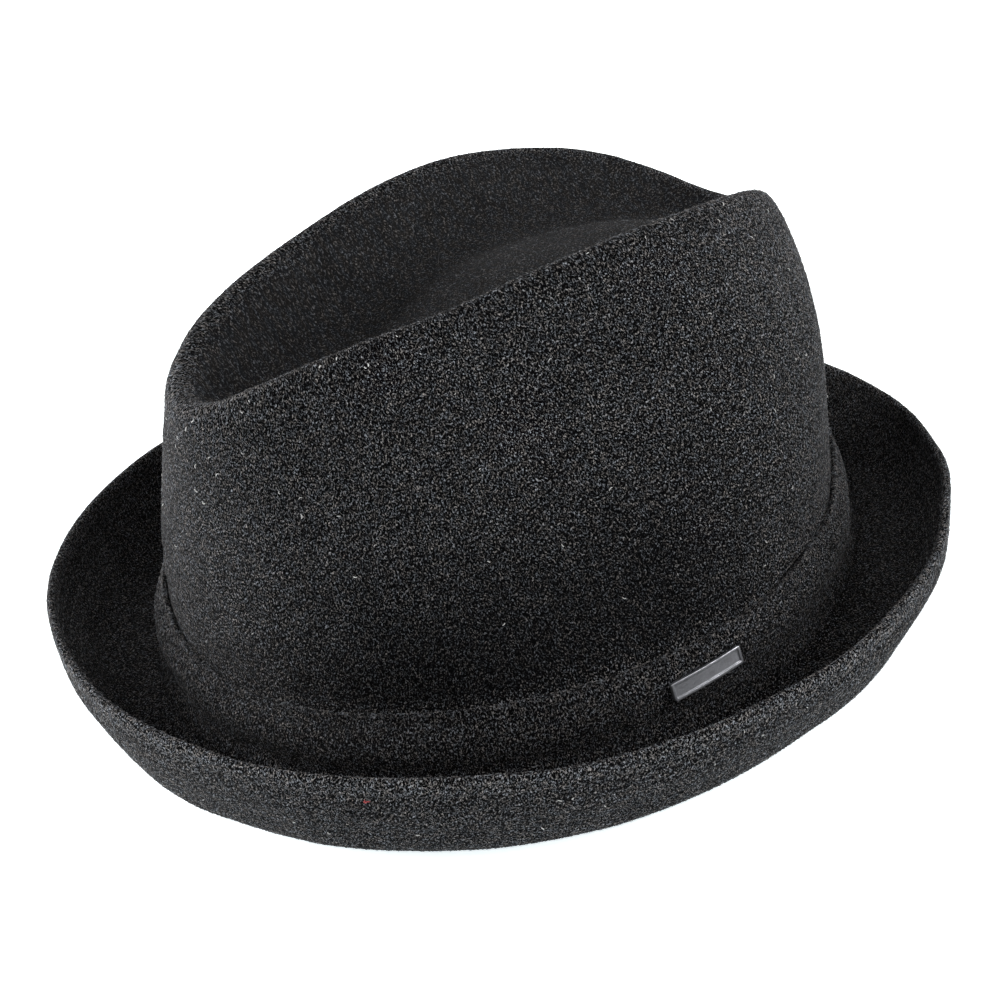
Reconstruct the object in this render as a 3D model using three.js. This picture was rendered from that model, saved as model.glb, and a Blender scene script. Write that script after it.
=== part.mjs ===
// A seamless wool-felt trilby: teardrop crown, brim rolled up all round, a
// band of the same felt round the foot of the crown and a small bare badge.
// Millimetres, +Z up, front of the hat towards -Y, wearer's left towards +X.
// The hat rests on the flattened ring under its brim, at z = 0.
import * as THREE from 'three';

// ---- named sizes ---------------------------------------------------------
const FELT = 2.2;          // thickness of the body felt
const GAP = 0.3;           // air left between two pieces that touch
const BAND_FELT = 1.2;     // thickness of the band at its top edge
const BAND_HEM = 1.0;      // thickness of the band at its lower edge
const CREST = 3.0;         // radius of the fold along the rim, middle of the felt
const PROUD = 0.25;        // how far the fold swells past the two sides it joins, 0..1
const SINK = 0.35;         // how far the felt is flattened where it rests
const RING = 1.25;         // height of the middle of the felt in the ring that it rests on
const TURNS = 50;          // columns round the hat
const BADGE_LENGTH = 22.5;
const BADGE_HEIGHT = 4.8;
const BADGE_THICK = 0.9;
const BADGE_TURN = 79.2;   // degrees from the front, round the wearer's left
const BADGE_FRAME = 0.7;   // width of the badge's raised border
const BADGE_SINK = 0.35;   // depth of the bare field inside the border
const BADGE_BEVEL = 0.2;   // slope between border and field
const BADGE_CORNER = 0.35; // how far the plate's corners are drawn in
const BADGE_SEAT = 0.2;    // extra air behind the plate, where the band curves
const BADGE_PART = 0.29;   // how far down the band the plate sits

// ---- closed curves round the hat, middle of the felt ----------------------
// halfLength along Y, halfWidth along X, shift along Y, taper: how much
// narrower the front is than the back, square: how much fuller the two ends
// are than an oval's; heights at five stations from the front (0 degrees) by
// the side (90) to the back (180).
const CURVES = {
  rim:    { halfLength: 95.0, halfWidth: 42.4, shift: 4.6, taper: 0.246, square: 0.02,
            front: 101.1, frontQuarter: 109.4, side: 112.9, backQuarter: 102.6, back: 86.2 },
  valley: { halfLength: 77.0, halfWidth: 18.5, shift: 7.2, taper: 0.2, square: 0.0,
            front: 89.5, frontQuarter: 85.0, side: 91.5, backQuarter: 86.0, back: 80.5 },
  waist:  { halfLength: 97.6, halfWidth: 86.1, shift: 2.2, taper: -0.075, square: 0.0,
            front: 24.0, frontQuarter: 26.2, side: 24.7, backQuarter: 25.8, back: 27.9 },
  lip:    { halfLength: 127.2, halfWidth: 121.0, shift: 0.0, taper: -0.04, square: 0.0,
            front: 31.3, frontQuarter: 29.9, side: 26.5, backQuarter: 22.8, back: 19.3 },
};

// the middle line of the dent runs inside the valley: its own half length, and
// the height of the dent's floor over the valley's whole length, by station
const SPINE_HALF = 60.0;
const FLOOR = { front: 89.5, frontQuarter: 87.0, side: 94.0, backQuarter: 88.0, back: 80.5 };

// rows of the dent's floor, as the way from the middle line to the valley
const FLOOR_ROWS = [0.0, 0.5];

// how far the crown wall bellies out between waist and rim, by station
const BELLY = { front: 1.77, frontQuarter: 1.14, side: 1.22, backQuarter: 3.62, back: 4.93 };

// rows of the dent from the valley out to the rim: across is the way from the
// valley to the rim (0..1), drop how far down towards the valley it lies
const DENT = [
  { across: 0.36, drop: 0.84 },
  { across: 0.68, drop: 0.42 },
];

// rows of the crown wall below the fold, as the way up from the waist to the rim
const WALL = [0.87, 0.72, 0.54, 0.36, 0.18, 0.0];

// rows from the foot of the crown to the flattened ring: out beyond the
// waist, height as a part of the way from the ring up to the waist, and flare,
// how much wider the foot spreads at the front than at the side
const FOOT = [
  { out: 3.2, part: 0.682, flare: 0.25 },
  { out: 2.8, part: 0.383, flare: 0.25 },
  { out: 5.3, part: 0.137, flare: 0.15 },
  { out: 8.2, part: 0.013, flare: 0.0 },
  { out: 11.3, part: 0.0, flare: -0.1 },
];

// rows of the rolled brim, from the flattened ring to the lip: part of the
// remaining reach, part of the lip's height
const ROLL = [
  { reach: 0.43, rise: 0.035 },
  { reach: 0.675, rise: 0.185 },
  { reach: 0.845, rise: 0.45 },
  { reach: 0.966, rise: 0.70 },
  { reach: 1.0, rise: 1.0 },
];

// ---- curves worked out from the tables ------------------------------------
const STATIONS = ['front', 'frontQuarter', 'side', 'backQuarter', 'back'];

// cosine series through five evenly spaced stations
function seriesOf(row) {
  const n = STATIONS.length - 1;
  const h = STATIONS.map((s) => row[s]);
  const c = [];
  for (let k = 0; k <= n; k += 1) {
    let sum = 0;
    for (let j = 0; j <= n; j += 1) {
      const end = j === 0 || j === n ? 0.5 : 1;
      sum += end * h[j] * Math.cos((Math.PI * j * k) / n);
    }
    c.push((sum * (k === 0 || k === n ? 1 : 2)) / n);
  }
  return c;
}

function seriesAt(c, turn) {
  return c.reduce((sum, ck, k) => sum + ck * Math.cos(k * turn), 0);
}

const HEIGHTS = Object.fromEntries(
  Object.entries(CURVES).map(([name, row]) => [name, seriesOf(row)]));
const BELLIES = seriesOf(BELLY);
const FLOORS = seriesOf(FLOOR);

// point of a closed curve at a turn from the front (0) round the left side
function curvePoint(name, turn) {
  const c = CURVES[name];
  const back = -Math.cos(turn);
  return new THREE.Vector3(
    c.halfWidth * Math.sin(turn) * (1 + c.taper * back + c.square * (back * back - 0.5)),
    c.shift + c.halfLength * back,
    seriesAt(HEIGHTS[name], turn));
}

// point of the dent's floor: way 0 is the middle line, 1 the valley
function floorPoint(turn, way) {
  const c = CURVES.valley;
  const valley = curvePoint('valley', turn);
  const inner = c.shift - SPINE_HALF * Math.cos(turn);
  const y = THREE.MathUtils.lerp(inner, valley.y, way * way);
  const station = Math.acos(THREE.MathUtils.clamp((c.shift - y) / c.halfLength, -1, 1));
  const rise = valley.z - seriesAt(FLOORS, turn);
  return new THREE.Vector3(valley.x * way, y, seriesAt(FLOORS, station) + rise * way * way);
}

function outward(turn) {
  const a = curvePoint('waist', turn - 0.01);
  const b = curvePoint('waist', turn + 0.01);
  return new THREE.Vector3(b.y - a.y, a.x - b.x, 0).normalize();
}

// the rounded fold at the rim: where it leaves the dent's side, its top, and
// where it meets the crown wall
function crest(rim, dentSide, wallSide) {
  const inner = dentSide.clone().sub(rim).normalize();
  const outer = wallSide.clone().sub(rim).normalize();
  const half = (Math.PI - inner.angleTo(outer)) / 2;
  const up = inner.clone().add(outer).normalize().negate();
  const cut = CREST * (1 / Math.cos(half) - 1);
  const corner = rim.clone().addScaledVector(up, cut * PROUD);
  const reach = CREST * Math.tan(half);
  return [
    corner.clone().addScaledVector(inner, reach),
    corner.clone().addScaledVector(up, -cut),
    corner.clone().addScaledVector(outer, reach),
  ];
}

// one section of the felt, from the middle line of the dent to the lip
function sectionPoints(turn) {
  const rim = curvePoint('rim', turn);
  const valley = curvePoint('valley', turn);
  const waist = curvePoint('waist', turn);
  const lip = curvePoint('lip', turn);
  const out = outward(turn);
  const pts = FLOOR_ROWS.map((way) => floorPoint(turn, way));
  pts.push(valley.clone());
  for (const row of DENT) {
    const p = valley.clone().lerp(rim, row.across);
    p.z = rim.z + (valley.z - rim.z) * row.drop;
    pts.push(p);
  }
  const belly = seriesAt(BELLIES, turn);
  const wall = WALL.map((up) => {
    const p = waist.clone().lerp(rim, Math.pow(up, belly));
    p.z = waist.z + (rim.z - waist.z) * up;
    return p;
  });
  pts.push(...crest(rim, pts[pts.length - 1], wall[0]), ...wall);
  for (const row of FOOT) {
    const p = waist.clone().addScaledVector(out, row.out * (1 + row.flare * Math.cos(turn)));
    p.z = RING + (waist.z - RING) * row.part;
    pts.push(p);
  }
  const ring = pts[pts.length - 1];
  for (const row of ROLL) {
    const p = ring.clone().lerp(lip, row.reach);
    p.z = ring.z + (lip.z - ring.z) * row.rise;
    pts.push(p);
  }
  return pts;
}

// marks on the section, counted in control points
const AT_VALLEY = FLOOR_ROWS.length;
const AT_RIM = AT_VALLEY + DENT.length + 2;
const AT_WAIST = AT_RIM + 1 + WALL.length;
const AT_RING = AT_WAIST + FOOT.length;
const AT_LIP = AT_RING + ROLL.length;

// smooth curve through a section; place runs from 0 to AT_LIP
const sections = new Map();
function sectionCurve(turn) {
  const key = turn.toFixed(6);
  if (!sections.has(key)) {
    const pts = sectionPoints(turn);
    const mirror = pts[1].clone();
    mirror.x = -mirror.x;
    sections.set(key, new THREE.CatmullRomCurve3([mirror, ...pts], false, 'centripetal'));
  }
  return sections.get(key);
}

function middle(turn, place) {
  const curve = sectionCurve(turn);
  const spans = curve.points.length - 1;
  return curve.getPoint(Math.min(1, Math.max(0, (place + 1) / spans)));
}

// direction square to the felt, pointing out of the crown and up the brim
const NEAR_SPINE = 0.35;
function square(turn, place) {
  if (place < NEAR_SPINE) {
    // next to the middle line it turns evenly from one side to the other
    const n = square(turn, NEAR_SPINE);
    const m = n.clone();
    m.x = -m.x;
    return m.lerp(n, 0.5 + (0.5 * place) / NEAR_SPINE).normalize();
  }
  const d = 0.02;
  const a = middle(turn - d, place).sub(middle(turn + d, place));
  const b = middle(turn, Math.min(AT_LIP, place + d)).sub(middle(turn, place - d));
  return a.cross(b).normalize();
}

function faceOf(turn, place, offset) {
  return middle(turn, place).addScaledVector(square(turn, place), offset);
}

// ---- closed bodies ---------------------------------------------------------
// rows of points round the hat joined into one closed skin; a row may share
// its points left with right (the middle line of the dent)
class Skin {
  constructor() {
    this.points = [];
    this.faces = [];
  }

  add(p) {
    this.points.push(p);
    return this.points.length - 1;
  }

  row(points) {
    return points.map((p) => this.add(p));
  }

  seamRow(points) {
    const n = points.length;
    const ids = new Array(n);
    for (let i = 0; i <= n / 2; i += 1) {
      ids[i] = this.add(points[i]);
      if (i > 0 && i < n / 2) ids[n - i] = ids[i];
    }
    return ids;
  }

  join(rowA, rowB, closed = true) {
    const n = rowA.length;
    for (let i = 0; i < (closed ? n : n - 1); i += 1) {
      const j = (i + 1) % n;
      this.quad(rowA[i], rowB[i], rowB[j], rowA[j]);
    }
  }

  quad(a, b, c, d) {
    for (const t of [[a, b, c], [a, c, d]]) {
      if (t[0] !== t[1] && t[1] !== t[2] && t[2] !== t[0]) this.faces.push(t);
    }
  }

  geometry() {
    const flat = [];
    for (const f of this.faces) {
      for (const i of f) flat.push(this.points[i].x, this.points[i].y, this.points[i].z);
    }
    const g = new THREE.BufferGeometry();
    g.setAttribute('position', new THREE.Float32BufferAttribute(flat, 3));
    g.computeVertexNormals();
    return g;
  }
}

const turns = Array.from({ length: TURNS }, (_, i) => (2 * Math.PI * i) / TURNS);

function material(colour, roughness, metalness) {
  return new THREE.MeshStandardMaterial({ color: colour, roughness, metalness });
}

function piece(name, geometry, mat) {
  const mesh = new THREE.Mesh(geometry, mat);
  mesh.name = name;
  return mesh;
}

// places of the rows along the section: two to a span, one on short spans
const PLACES = [];
for (let k = 0; k < AT_LIP; k += 1) {
  PLACES.push(k);
  const tight = (k >= AT_RIM - 2 && k <= AT_RIM) || (k >= AT_WAIST && k <= AT_WAIST + 3)
    || k >= AT_RING;
  if (tight || (k >= AT_VALLEY && k < AT_RIM - 2)) PLACES.push(k + 0.5);
}
PLACES.push(AT_LIP);

function feltBody() {
  const skin = new Skin();
  const top = (turn, place) => faceOf(turn, place, FELT / 2);
  const under = (turn, place) => {
    const p = faceOf(turn, place, -FELT / 2);
    if (place > AT_WAIST) p.z = Math.max(0, p.z - SINK);
    return p;
  };
  let last = skin.seamRow(turns.map((t) => top(t, 0)));
  for (const place of PLACES.slice(1)) {
    const next = skin.row(turns.map((t) => top(t, place)));
    skin.join(last, next);
    last = next;
  }
  // rounded lip
  for (const bend of [45, 90, 135]) {
    const a = THREE.MathUtils.degToRad(bend);
    const next = skin.row(turns.map((t) => {
      const n = square(t, AT_LIP);
      const along = middle(t, AT_LIP).sub(middle(t, AT_LIP - 0.05)).normalize();
      return middle(t, AT_LIP)
        .addScaledVector(n, (Math.cos(a) * FELT) / 2)
        .addScaledVector(along, (Math.sin(a) * FELT) / 2);
    }));
    skin.join(last, next);
    last = next;
  }
  for (const place of PLACES.slice(1).reverse()) {
    const next = skin.row(turns.map((t) => under(t, place)));
    skin.join(last, next);
    last = next;
  }
  skin.join(last, skin.seamRow(turns.map((t) => under(t, 0))));
  return piece('felt_body', skin.geometry(), material(0x1d1c1e, 0.95, 0));
}

// ---- band ------------------------------------------------------------------
// places of the band's rows, from its top edge down the foot of the crown
const BAND_TOP = AT_WAIST;
const BAND_FOOT = AT_WAIST + 3;
const BAND_ROWS = [0, 1, 2, 3, 4, 5, 6].map((row) => row / 6);

function bandFace(turn, part, outer) {
  const place = THREE.MathUtils.lerp(BAND_TOP, BAND_FOOT, part);
  const thick = THREE.MathUtils.lerp(BAND_FELT, BAND_HEM, part * part);
  const offset = FELT / 2 + GAP + outer * thick;
  return faceOf(turn, place, offset);
}

function crownBand() {
  const skin = new Skin();
  const rows = [];
  // up the inner side, over the rounded top edge, down the outer side
  for (const part of [...BAND_ROWS].reverse()) rows.push((t) => bandFace(t, part, 0));
  rows.push((t) => {
    const p = bandFace(t, 0, 0.5);
    p.z += BAND_FELT * 0.35;
    return p;
  });
  for (const part of BAND_ROWS) rows.push((t) => bandFace(t, part, 1));
  let first = null;
  let last = null;
  for (const at of rows) {
    const next = skin.row(turns.map(at));
    if (last) skin.join(last, next);
    else first = next;
    last = next;
  }
  skin.join(last, first);
  return piece('crown_band', skin.geometry(), material(0x1b1a1c, 0.95, 0));
}

// ---- badge -----------------------------------------------------------------
function waistTurnAfter(turn, length) {
  // walk round the band's outer face by a length
  let t = turn;
  let left = Math.abs(length);
  const step = Math.sign(length) * 0.002;
  let p = bandFace(t, BADGE_PART, 1);
  while (left > 0) {
    const q = bandFace(t + step, BADGE_PART, 1);
    left -= q.distanceTo(p);
    p = q;
    t += step;
  }
  return t;
}

// lines of the plate along one direction: edge, border, bevel, bare field
function plateLines(half, parts) {
  const lines = [-half, -half + BADGE_FRAME, -half + BADGE_FRAME + BADGE_BEVEL];
  const field = half - BADGE_FRAME - BADGE_BEVEL;
  for (let i = 1; i < parts; i += 1) lines.push(-field + (2 * field * i) / parts);
  return [...lines, field, field + BADGE_BEVEL, half];
}

function badge() {
  const mid = THREE.MathUtils.degToRad(BADGE_TURN);
  const halfL = BADGE_LENGTH / 2;
  const halfH = BADGE_HEIGHT / 2;
  const us = plateLines(halfL, 8);
  const vs = plateLines(halfH, 2);
  // the plate is bent round the band: u round the hat, v up the band
  const centre = bandFace(mid, BADGE_PART, 1);
  const out = square(mid, THREE.MathUtils.lerp(BAND_TOP, BAND_FOOT, BADGE_PART));
  const along = new THREE.Vector3(-out.y, out.x, 0).normalize();
  const up = out.clone().cross(along).normalize();
  const sagAt = (u) => bandFace(waistTurnAfter(mid, u), BADGE_PART, 1).sub(centre).dot(out);
  const sagEnd = (sagAt(halfL) + sagAt(-halfL)) / 2;
  const at = (u, v, lift) => centre.clone()
    .addScaledVector(along, u)
    .addScaledVector(up, v)
    .addScaledVector(out, sagEnd * (u / halfL) ** 2 + lift);
  const inField = (i, n) => i > 1 && i < n - 2;
  const skin = new Skin();
  const base = GAP + BADGE_SEAT;
  const grid = (lift) => us.map((u, i) => skin.row(vs.map((v, j) => {
    const corner = (i === 0 || i === us.length - 1) && (j === 0 || j === vs.length - 1);
    const pull = corner ? BADGE_CORNER : 0;
    return at(u - Math.sign(u) * pull, v - Math.sign(v) * pull, lift(i, j));
  })));
  const front = grid((i, j) => base + BADGE_THICK
    - (inField(i, us.length) && inField(j, vs.length) ? BADGE_SINK : 0));
  const back = grid(() => base);
  const nu = us.length - 1;
  const nv = vs.length - 1;
  for (let i = 0; i < nu; i += 1) {
    for (let j = 0; j < nv; j += 1) {
      skin.quad(front[i][j], front[i + 1][j], front[i + 1][j + 1], front[i][j + 1]);
      skin.quad(back[i][j], back[i][j + 1], back[i + 1][j + 1], back[i + 1][j]);
    }
    skin.quad(back[i][0], back[i + 1][0], front[i + 1][0], front[i][0]);
    skin.quad(front[i][nv], front[i + 1][nv], back[i + 1][nv], back[i][nv]);
  }
  for (let j = 0; j < nv; j += 1) {
    skin.quad(front[0][j], front[0][j + 1], back[0][j + 1], back[0][j]);
    skin.quad(back[nu][j], back[nu][j + 1], front[nu][j + 1], front[nu][j]);
  }
  return piece('badge', skin.geometry(), material(0x8d9096, 0.42, 0.85));
}

const hat = new THREE.Group();
hat.name = 'trilby';
hat.add(feltBody(), crownBand(), badge());

export default hat;
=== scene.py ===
"""A seamless wool-felt trilby on its CAD frame: the felt with its nap, the
band, the bare badge and the stitched rows of the rolled brim.

Sizes below are in millimetres, in the row frame; meshes are written in metres.
Front of the hat towards -Y, wearer's left towards +X, resting on z = 0.
"""

import math

import bpy
import numpy as np
from mathutils import Matrix, Vector


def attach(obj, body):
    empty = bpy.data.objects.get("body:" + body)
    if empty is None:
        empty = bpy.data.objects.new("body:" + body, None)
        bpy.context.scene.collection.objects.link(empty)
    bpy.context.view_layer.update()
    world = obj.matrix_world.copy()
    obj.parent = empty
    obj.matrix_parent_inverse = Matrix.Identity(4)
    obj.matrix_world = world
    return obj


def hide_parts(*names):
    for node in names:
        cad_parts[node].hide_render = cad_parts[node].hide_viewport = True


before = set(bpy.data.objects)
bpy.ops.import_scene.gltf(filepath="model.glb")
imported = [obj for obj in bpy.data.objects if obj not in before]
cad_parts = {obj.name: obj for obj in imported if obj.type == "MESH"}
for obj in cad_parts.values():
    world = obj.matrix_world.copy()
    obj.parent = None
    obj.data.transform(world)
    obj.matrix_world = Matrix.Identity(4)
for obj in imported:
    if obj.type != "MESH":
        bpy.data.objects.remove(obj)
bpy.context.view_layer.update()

MM = 0.001
PI = math.pi

# ---- named sizes ------------------------------------------------------------
FELT = 2.2            # thickness of the body felt
GAP = 0.3             # air left between two pieces that touch
BAND_FELT = 1.2       # thickness of the band at its top edge
BAND_HEM = 1.0        # thickness of the band at its lower edge
CREST = 3.0           # radius of the fold along the rim
PROUD = 0.25          # how far the fold swells past its two sides
SINK = 0.35           # how far the felt is flattened where it rests
RING = 1.25           # height of the middle of the felt in the ring that it rests on
SPINE_HALF = 60.0     # half length of the dent's middle line
NEAR_SPINE = 0.35

BADGE_LENGTH = 22.5
BADGE_HEIGHT = 4.8
BADGE_THICK = 0.9
BADGE_TURN = math.radians(79.2)
BADGE_FRAME = 0.7
BADGE_SINK = 0.35
BADGE_SEAT = 0.2
BADGE_PART = 0.29

LINT_TURN = 33.7      # degrees from the front, where the red lint sits under the brim's edge
LINT_PLACE = 22.45
STITCH_FIRST = 3.4    # first stitched row, from the lip
STITCH_STEP = 4.5     # between two rows
STITCH_ROWS = 4
STITCH_LONG = 2.6     # one stitch
STITCH_PITCH = 3.3    # from stitch to stitch
THREAD = 0.42         # thread diameter
GROOVE = 0.09         # how deep a row is drawn in
GROOVE_HALF = 0.62

# ---- closed curves round the hat, middle of the felt --------------------------
# half length along Y, half width along X, shift, taper, square, and heights
# at five stations from the front round to the back
CURVES = {
    "rim": (95.0, 42.4, 4.6, 0.246, 0.02, (101.1, 109.4, 112.9, 102.6, 86.2)),
    "valley": (77.0, 18.5, 7.2, 0.2, 0.0, (89.5, 85.0, 91.5, 86.0, 80.5)),
    "waist": (97.6, 86.1, 2.2, -0.075, 0.0, (24.0, 26.2, 24.7, 25.8, 27.9)),
    "lip": (127.2, 121.0, 0.0, -0.04, 0.0, (31.3, 29.9, 26.5, 22.8, 19.3)),
}
FLOOR = (89.5, 87.0, 94.0, 88.0, 80.5)
FLOOR_ROWS = (0.0, 0.5)
BELLY = (1.77, 1.14, 1.22, 3.62, 4.93)
DENT = ((0.36, 0.84), (0.68, 0.42))                       # across, drop
WALL = (0.87, 0.72, 0.54, 0.36, 0.18, 0.0)                # up
FOOT = ((3.2, 0.682, 0.25), (2.8, 0.383, 0.25), (5.3, 0.137, 0.15),       # out, part of the height,
        (8.2, 0.013, 0.0), (11.3, 0.0, -0.1))                             # flare at the front
ROLL = ((0.43, 0.035), (0.675, 0.185), (0.845, 0.45), (0.966, 0.70), (1.0, 1.0))  # reach, rise

AT_VALLEY = len(FLOOR_ROWS)
AT_RIM = AT_VALLEY + len(DENT) + 2
AT_WAIST = AT_RIM + 1 + len(WALL)
AT_RING = AT_WAIST + len(FOOT)
AT_LIP = AT_RING + len(ROLL)
BAND_TOP = AT_WAIST
BAND_FOOT = AT_WAIST + 3


def series(heights):
    n = len(heights) - 1
    out = []
    for k in range(n + 1):
        total = sum((0.5 if j in (0, n) else 1.0) * heights[j] * math.cos(PI * j * k / n)
                    for j in range(n + 1))
        out.append(total * (1 if k in (0, n) else 2) / n)
    return out


def along_series(heights, turn):
    return sum(c * np.cos(k * turn) for k, c in enumerate(series(heights)))


def unit(v):
    return v / np.maximum(np.linalg.norm(v, axis=-1, keepdims=True), 1e-12)


def curve(name, turn):
    half_length, half_width, shift, taper, square_, heights = CURVES[name]
    back = -np.cos(turn)
    wide = 1 + taper * back + square_ * (back * back - 0.5)
    return np.stack([half_width * np.sin(turn) * wide, shift + half_length * back,
                     along_series(heights, turn)], -1)


def floor_point(turn, way):
    half_length, _, shift = CURVES["valley"][:3]
    valley = curve("valley", turn)
    inner = shift - SPINE_HALF * np.cos(turn)
    y = inner + (valley[..., 1] - inner) * way * way
    station = np.arccos(np.clip((shift - y) / half_length, -1, 1))
    rise = valley[..., 2] - along_series(FLOOR, turn)
    return np.stack([valley[..., 0] * way, y, along_series(FLOOR, station) + rise * way * way], -1)


def outward(turn):
    a, b = curve("waist", turn - 0.01), curve("waist", turn + 0.01)
    return unit(np.stack([b[..., 1] - a[..., 1], a[..., 0] - b[..., 0], 0 * turn], -1))


def crest(rim, dent_side, wall_side):
    inner, outer = unit(dent_side - rim), unit(wall_side - rim)
    half = ((PI - np.arccos(np.clip((inner * outer).sum(-1), -1, 1))) / 2)[..., None]
    up = -unit(inner + outer)
    cut = CREST * (1 / np.cos(half) - 1)
    reach = CREST * np.tan(half)
    corner = rim + up * cut * PROUD
    return [corner + inner * reach, corner - up * cut, corner + outer * reach]


def section(turn):
    """Control points of the felt's middle at each turn: (points, turns, 3)."""
    rim, valley = curve("rim", turn), curve("valley", turn)
    waist, lip = curve("waist", turn), curve("lip", turn)
    out = outward(turn)
    pts = [floor_point(turn, way) for way in FLOOR_ROWS] + [valley]
    for across, drop in DENT:
        p = valley + (rim - valley) * across
        p[..., 2] = rim[..., 2] + (valley[..., 2] - rim[..., 2]) * drop
        pts.append(p)
    belly = along_series(BELLY, turn)
    wall = []
    for up in WALL:
        part = np.power(up, belly)[..., None] if up > 0 else 0.0
        p = waist + (rim - waist) * part
        p[..., 2] = waist[..., 2] + (rim[..., 2] - waist[..., 2]) * up
        wall.append(p)
    pts += crest(rim, pts[-1], wall[0]) + wall
    for reach, part, flare in FOOT:
        p = waist + out * (reach * (1 + flare * np.cos(turn)))[..., None]
        p[..., 2] = RING + (waist[..., 2] - RING) * part
        pts.append(p)
    ring = pts[-1]
    for reach, rise in ROLL:
        p = ring + (lip - ring) * reach
        p[..., 2] = ring[..., 2] + (lip[..., 2] - ring[..., 2]) * rise
        pts.append(p)
    pts = np.stack(pts, 0)
    mirror = pts[1].copy()
    mirror[..., 0] *= -1
    end = 2 * pts[-1] - pts[-2]
    return np.concatenate([mirror[None], pts, end[None]], 0)


def grid(place, turn):
    place = np.asarray(place, float)
    if place.ndim == 0:
        place = place[None]
    if place.ndim == 1:
        place = np.repeat(place[:, None], len(turn), 1)
    return place


def middle(turn, place):
    """Middle of the felt at (place, turn), centripetal curve through the section."""
    place = np.clip(grid(place, turn), 0, AT_LIP)
    s = section(turn)
    k = np.minimum(np.floor(place), AT_LIP - 1).astype(int)
    w = (place - k)[..., None]
    cols = np.arange(len(turn))[None, :]
    p0, p1, p2, p3 = (s[k + i, cols] for i in range(4))

    def knot(a, b):
        return np.maximum(((b - a) ** 2).sum(-1) ** 0.25, 1e-4)[..., None]

    d0, d1, d2 = knot(p0, p1), knot(p1, p2), knot(p2, p3)
    t1 = ((p1 - p0) / d0 - (p2 - p0) / (d0 + d1) + (p2 - p1) / d1) * d1
    t2 = ((p2 - p1) / d1 - (p3 - p1) / (d1 + d2) + (p3 - p2) / d2) * d1
    c2 = -3 * p1 + 3 * p2 - 2 * t1 - t2
    c3 = 2 * p1 - 2 * p2 + t1 + t2
    return p1 + t1 * w + c2 * w * w + c3 * w ** 3


def square(turn, place):
    """Direction square to the felt, out of the crown and up the brim."""
    place = grid(place, turn)
    far = np.maximum(place, NEAR_SPINE)
    d = 0.02
    a = middle(turn - d, far) - middle(turn + d, far)
    b = middle(turn, np.minimum(far + d, AT_LIP)) - middle(turn, far - d)
    n = unit(np.cross(a, b))
    m = n.copy()
    m[..., 0] *= -1
    w = np.clip(0.5 + 0.5 * place / NEAR_SPINE, 0, 1)[..., None]
    return np.where((place < NEAR_SPINE)[..., None], unit(m + (n - m) * w), n)


# ---- the felt is never quite even ---------------------------------------------
rng = np.random.default_rng(20317)


def waves(count, longest, shortest, size):
    way = unit(rng.normal(size=(count, 3)))
    wave = 2 * PI / rng.uniform(shortest, longest, (count, 1))
    return way * wave, rng.uniform(0, 2 * PI, count), np.full(count, size * math.sqrt(2 / count))


BROAD = waves(18, 72, 30, 0.30)
FINE = waves(30, 13, 6.5, 0.045)


def sum_waves(p, table):
    k, phase, size = table
    out = np.zeros(p.shape[:-1])
    for ki, fi, si in zip(k, phase, size):
        out += si * np.cos(p @ ki + fi)
    return out


def smooth(x, a, b):
    t = np.clip((x - a) / (b - a), 0, 1)
    return t * t * (3 - 2 * t)


BADGE_AT = middle(np.array([BADGE_TURN]), BAND_TOP + (BAND_FOOT - BAND_TOP) * BADGE_PART)[0, 0]


def uneven(p, place):
    """How far the felt swells out of its even shape."""
    still = 1 - smooth(place, AT_RING - 3.0, AT_RING - 1.2) * (1 - smooth(place, AT_RING + 0.6, AT_RING + 2.2))
    by_badge = smooth(np.linalg.norm(p - BADGE_AT, axis=-1), 15, 34)
    return (sum_waves(p, BROAD) * by_badge + sum_waves(p, FINE) * (0.35 + 0.65 * by_badge)) * still


def painted_light_and_shade(p, place, turn):
    """How pale the nap is painted: painted shade in the dent and low on the crown,
    painted highlight on the fold at the front, high on the back of the crown and along the lip."""
    t = np.abs((turn + PI) % (2 * PI) - PI) * np.ones_like(place)
    dent = 1 - smooth(place, AT_RIM - 1.4, AT_RIM - 0.6)
    crown = smooth(place, AT_RIM - 0.6, AT_RIM + 0.4) * (1 - smooth(place, AT_WAIST - 0.3, AT_WAIST))
    low = crown * (1 - smooth(p[..., 2], 38, 78)) * smooth(t, 0.15, 0.7) * (1 - smooth(t, 1.35, 1.9))
    front = np.exp(-((place - AT_RIM) / 1.3) ** 2) * (1 - smooth(t, 0.15, 0.75))
    back = crown * smooth(p[..., 2], 62, 88) * smooth(t, 1.7, 2.3)
    lip = smooth(place, AT_LIP - 0.55, AT_LIP - 0.05)
    # painted shade: x0.78 in the dent, down to x0.4 low on the crown where the brim hides the floor's light; painted
    # highlight: up to x2.1 on the front fold, x1.28 high on the back, x1.7 at the lip
    return (1 - 0.22 * dent) * (1 - 0.6 * low) * (1 + 1.1 * front) * (1 + 0.28 * back) * (1 + 0.7 * lip)


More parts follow.
